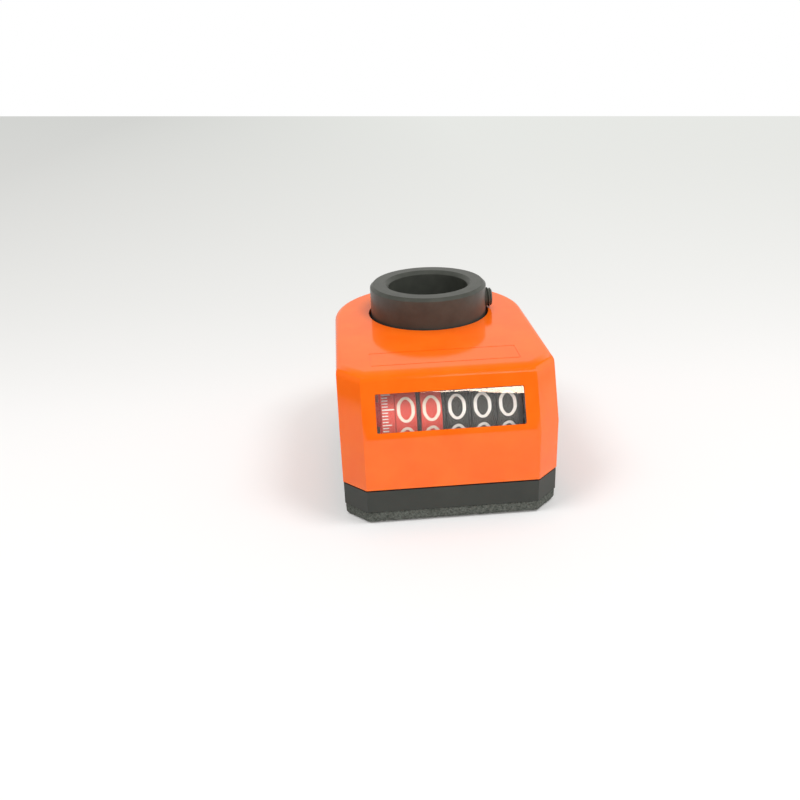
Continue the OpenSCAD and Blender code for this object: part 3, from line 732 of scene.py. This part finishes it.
def flat_digit(strokes):
    """A digit as a flat mesh in mm, cut into bands."""
    bpy.ops.object.select_all(action="DESELECT")
    for points, corners, closed in strokes:
        pen = pen_stroke(points, corners, closed)
        pen.select_set(True)
        bpy.context.view_layer.objects.active = pen
    bpy.ops.object.convert(target="MESH")
    if len(strokes) > 1:
        bpy.ops.object.join()
    digit = bpy.context.object
    digit.data.transform(Matrix.Diagonal((1, pen_flat, 1, 1)))
    bpy.ops.object.mode_set(mode="EDIT")
    bpy.ops.mesh.select_all(action="SELECT")
    bpy.ops.mesh.remove_doubles(threshold=ribbon_weld)
    for step in range(int(digit_h / band)):
        bpy.ops.mesh.select_all(action="SELECT")
        bpy.ops.mesh.bisect(plane_co=(0, -digit_h / 2 + (step + 0.5) * band, 0), plane_no=(0, 1, 0))
    bpy.ops.object.mode_set(mode="OBJECT")
    return digit


flat_digits = [flat_digit(strokes) for strokes in digit_strokes.values()]
print("points per digit:", [len(digit.data.vertices) for digit in flat_digits])

# %% Ink
ink_over, ink_t = 0.03 * MM, 0.05 * MM


def print_ink(name, dark, light):
    """Printed ink: nearly even, with faint thin patches."""
    material, tree, shader, place = new_finish(name)
    two_tone(tree, shader, mottle(tree, place, size_mm=0.5), dark, light)
    uneven_gloss(tree, shader, mottle(tree, place, size_mm=1.0), low=0.4, high=0.55)
    return material


def ink_layer(name, parts, body, material):
    """Joins thin sheets into one print layer, gives it a thickness and lets it ride on a body."""
    bpy.ops.object.select_all(action="DESELECT")
    for part in parts:
        part.select_set(True)
    bpy.context.view_layer.objects.active = parts[0]
    bpy.ops.object.join()
    layer = bpy.context.object
    layer.name = layer.data.name = name
    sheet = layer.modifiers.new("ink", "SOLIDIFY")
    sheet.thickness, sheet.offset = ink_t, -1
    apply_modifiers(layer)
    bpy.ops.object.shade_smooth_by_angle(angle=smooth_angle)
    paint(layer, material)
    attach(layer, body)
    print(name, "faces:", len(layer.data.polygons))
    return layer


white_ink = print_ink("white_ink", "faf6ee", "ffffff")
cream_ink = print_ink("cream_ink", "fceedb", "fff8ea")
print("ink in mm:", round(ink_t / MM, 3))

# %% Lay the digits on the drums
drum_low, drum_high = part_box("digit_drum_1")
axle_y, axle_z = (drum_low.y + drum_high.y) / 2, (drum_low.z + drum_high.z) / 2
drum_r = (drum_high.y - drum_low.y) / 2
window_angle = math.radians(150.8)
digit_step = math.radians(36)


def on_drum(x, angle):
    """A point of the print at this place along the axle and angle round it."""
    radius = drum_r + ink_over
    return Vector((x, axle_y + radius * math.cos(angle), axle_z + radius * math.sin(angle)))


for k in drum_numbers:
    low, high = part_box(f"digit_drum_{k}")
    middle_x = (low.x + high.x) / 2
    laid = []
    for number, flat in enumerate(flat_digits):
        sheet = bpy.data.objects.new(f"digit_{k}_{number}", flat.data.copy())
        bpy.context.scene.collection.objects.link(sheet)
        for point in sheet.data.vertices:
            angle = window_angle - number * digit_step + point.co.y * MM / drum_r
            point.co = on_drum(middle_x - point.co.x * MM, angle)
        laid.append(sheet)
    layer = ink_layer(f"digits_{k}", laid, f"drum_{k}", cream_ink if k <= red_drums else white_ink)
for flat in flat_digits:
    bpy.data.objects.remove(flat)
print("drum radius in mm:", round(drum_r / MM, 2))

# %% [markdown]
# ## Graduation beside the first drum
# The narrow drum at the end of the row turns with the first digit drum and carries a hundred lines, ten to
# a digit. Every tenth line runs right across, every fifth is of middle length and the rest are short. The
# lines could be a stripe texture, but thin strips stay sharp in a close view. Each strip is a small plane
# laid round the axle.

# %% Lines round the drum
scale_right, scale_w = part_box("scale_drum")[1].x, 2.9 * MM
scale_left = scale_right - scale_w
edge_round = 0.12 * MM
line_count = 100
long_line, half_line, short_line = scale_w - 2 * edge_round, 2.0 * MM, 1.3 * MM
long_w, line_w = 0.3 * MM, 0.24 * MM
zero_turn = math.radians(-1.0)

lines = []
for number in range(line_count):
    length = long_line if number % 10 == 0 else half_line if number % 5 == 0 else short_line
    width = long_w if number % 10 == 0 else line_w
    bpy.ops.mesh.primitive_plane_add(size=1)
    line = bpy.context.object
    angle = window_angle + zero_turn - number * math.radians(360 / line_count)
    for point in line.data.vertices:
        turn = angle + point.co.y * width / drum_r
        point.co = on_drum(scale_left + edge_round + (point.co.x + 0.5) * length, turn)
    lines.append(line)
graduation = ink_layer("graduation_lines", lines, "drum_1", white_ink)

# %% [markdown]
# ## Set screw
# The screw that clamps the collar on the spindle is a headless screw with a hexagon socket. CAD holds it as
# a smooth rod with that socket, so its thread is modelled here. Rings cut one by one would be no thread. A
# zigzag line one pitch high is drawn by extruding a single point instead, a Screw modifier sweeps it into a
# true helix, and Boolean modifiers trim it with a chamfered cylinder and take the socket out.

# %% Profile of the thread
screw_low, screw_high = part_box("set_screw")
screw_r = (screw_high.y - screw_low.y) / 2
screw_l = screw_high.x - screw_low.x
thread_pitch, thread_depth = 0.8 * MM, 0.43 * MM
flank, crest, root = 0.4 * thread_pitch, 0.12 * thread_pitch, 0.08 * thread_pitch
spare_turns = 2

bpy.ops.object.select_all(action="DESELECT")
bpy.ops.mesh.primitive_plane_add(size=thread_pitch, location=(0, 0, 0))
screw = bpy.context.object
screw.name = screw.data.name = "clamp_screw_threaded"
bpy.ops.object.mode_set(mode="EDIT")
bpy.ops.mesh.select_mode(type="VERT")
bpy.ops.mesh.select_all(action="SELECT")
bpy.ops.mesh.merge(type="CENTER")
bpy.ops.transform.translate(value=(screw_r - thread_depth, 0, -spare_turns * thread_pitch))
for across, along in ((thread_depth, flank), (0, crest), (-thread_depth, flank), (0, root)):
    bpy.ops.mesh.extrude_region_move(TRANSFORM_OT_translate={"value": (across, 0, along)})
bpy.ops.object.mode_set(mode="OBJECT")
print("profile points:", len(screw.data.vertices))

# %% Sweep of the thread
thread_steps = 32
spare_end = 0.43 * thread_pitch
sweep = screw.modifiers.new("thread", "SCREW")
sweep.axis, sweep.screw_offset = "Z", thread_pitch
sweep.iterations = int(screw_l / thread_pitch) + 2 * spare_turns
sweep.steps = sweep.render_steps = thread_steps
sweep.use_merge_vertices, sweep.merge_threshold = True, weld_distance
apply_modifiers(screw)
bpy.ops.object.mode_set(mode="EDIT")
bpy.ops.mesh.select_all(action="SELECT")
bpy.ops.mesh.remove_doubles(threshold=weld_distance)
for height, keep_up in ((-spare_end, True), (screw_l + spare_end, False)):
    bpy.ops.mesh.select_all(action="SELECT")
    bpy.ops.mesh.bisect(plane_co=(0, 0, height), plane_no=(0, 0, 1), use_fill=True,
                        clear_inner=keep_up, clear_outer=not keep_up)
bpy.ops.mesh.select_all(action="SELECT")
bpy.ops.mesh.normals_make_consistent(inside=False)
bpy.ops.object.mode_set(mode="OBJECT")
print("thread faces:", len(screw.data.polygons))

# %% Trim with a chamfered blank
screw_chamfer, blank_sides = 0.5 * MM, 64


def cut_with(piece, tool, operation):
    """Applies a Boolean with a tool object, then removes the tool."""
    cut = piece.modifiers.new("cut", "BOOLEAN")
    cut.object, cut.operation, cut.solver = tool, operation, "EXACT"
    apply_modifiers(piece)
    bpy.data.objects.remove(tool)


bpy.ops.object.select_all(action="DESELECT")
bpy.ops.mesh.primitive_cylinder_add(vertices=blank_sides, radius=screw_r, depth=screw_l,
                                    location=(0, 0, screw_l / 2))
blank = bpy.context.object
bpy.ops.object.transform_apply(location=True)
bpy.ops.object.mode_set(mode="EDIT")
bpy.ops.mesh.select_mode(type="EDGE")
bpy.ops.mesh.select_all(action="DESELECT")
bpy.ops.object.mode_set(mode="OBJECT")
for edge in blank.data.edges:
    heights = [blank.data.vertices[i].co.z for i in edge.vertices]
    edge.select = abs(heights[0] - heights[1]) < weld_distance
bpy.ops.object.mode_set(mode="EDIT")
bpy.ops.mesh.bevel(offset=screw_chamfer, segments=1)
bpy.ops.object.mode_set(mode="OBJECT")
cut_with(screw, blank, "INTERSECT")
print("trimmed faces:", len(screw.data.polygons))

# %% Socket and place
socket_flats, socket_depth = 2.5 * MM, 2.0 * MM
bpy.ops.object.select_all(action="DESELECT")
bpy.ops.mesh.primitive_cylinder_add(vertices=6, radius=socket_flats / math.sqrt(3), depth=2 * socket_depth,
                                    location=(0, 0, screw_l))
cut_with(screw, bpy.context.object, "DIFFERENCE")
middle = (screw_low + screw_high) / 2
screw_start = Matrix.Translation((screw_low.x, middle.y, middle.z))
screw.data.transform(screw_start @ Matrix.Rotation(math.pi / 2, 4, "Y"))
select_only(screw)
bpy.ops.object.shade_smooth_by_angle(angle=smooth_angle)
paint(screw, dark_screw_steel)
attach(screw, "clamp_screw")
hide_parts("set_screw")
print("screw faces:", len(screw.data.polygons))

# %% [markdown]
# ## Foam gasket
# The gasket under the base is open-celled foam, cut from sheet: its skin is rough with small pores, and its
# lower edge is soft. Bump alone would leave its outline straight. So a copy of the solid gets wide rounds
# below and small ones above, is remeshed into even cells, and each point is then pushed inwards by a pore
# pattern. Points only move inwards, so the foam stays between the base and the table.

# %% Foam form
foam_voxel = 0.36 * MM
foam_low, foam_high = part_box("foam_gasket")
lower_round, upper_round = 0.9 * MM, 0.35 * MM
corner_tilt = 0.5


def bevel_level(piece, height, radius, steps):
    """Rounds the corner edges of a piece that lie at one height."""
    select_only(piece)
    bpy.ops.object.mode_set(mode="EDIT")
    bpy.ops.mesh.select_mode(type="EDGE")
    bpy.ops.mesh.select_all(action="DESELECT")
    bpy.ops.object.mode_set(mode="OBJECT")
    border = {}
    for face in piece.data.polygons:
        for key in face.edge_keys:
            border.setdefault(key, []).append(face.normal.z)
    for edge in piece.data.edges:
        level = all(abs(piece.data.vertices[i].co.z - height) < weld_distance for i in edge.vertices)
        tilts = border.get(edge.key, [])
        edge.select = level and len(tilts) == 2 and abs(tilts[0] - tilts[1]) > corner_tilt
    bpy.ops.object.mode_set(mode="EDIT")
    bpy.ops.mesh.bevel(offset=radius, segments=steps, affect="EDGES")
    bpy.ops.object.mode_set(mode="OBJECT")


foam = welded_copy("foam_gasket", "foam_pad")
bevel_level(foam, foam_low.z, lower_round, steps=4)
bevel_level(foam, foam_high.z, upper_round, steps=2)
cells = foam.modifiers.new("cells", "REMESH")
cells.mode, cells.voxel_size = "VOXEL", foam_voxel
apply_modifiers(foam)
print("foam points:", len(foam.data.vertices))

# %% Foam pores
pore_mm, pore_reach, pore_depth = 0.9, 0.55, 0.22 * MM
waves_per_pore, wave_depth = 0.35, 0.12 * MM
normals = [point.normal.copy() for point in foam.data.vertices]
for point, normal in zip(foam.data.vertices, normals):
    spot = point.co / (pore_mm * MM)
    nearest = noise.voronoi(spot)[0][0]
    pore = pore_depth * max(0.0, 1 - nearest / pore_reach)
    wave = wave_depth * (0.5 + 0.5 * noise.noise(spot * waves_per_pore))
    point.co -= normal * (pore + wave)
    point.co.z = min(max(point.co.z, foam_low.z), foam_high.z)
select_only(foam)
bpy.ops.object.shade_smooth()
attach(foam, "housing")
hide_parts("foam_gasket")
print("foam heights in mm:", [round(v / MM, 2) for v in (foam_low.z, foam_high.z)])

# %% Foam finish
fine_pore_mm = 0.6 * pore_mm
foam_grey, tree, shader, place = new_finish("open_foam")
pores = add_node(tree, "TexVoronoi", Vector=place, Scale=1 / (fine_pore_mm * MM))
flecks = mottle(tree, place, size_mm=0.45, detail=4.0, roughness=0.7)
two_tone(tree, shader, flecks, "31352f", "757973")
grain(tree, shader, pores.outputs["Distance"], depth_mm=0.12, strength=0.6)
uneven_gloss(tree, shader, flecks, low=0.85, high=1.0)
shader.inputs["Specular IOR Level"].default_value = 0.2
paint(foam, foam_grey)
print("foam finish has", len(tree.nodes), "nodes")
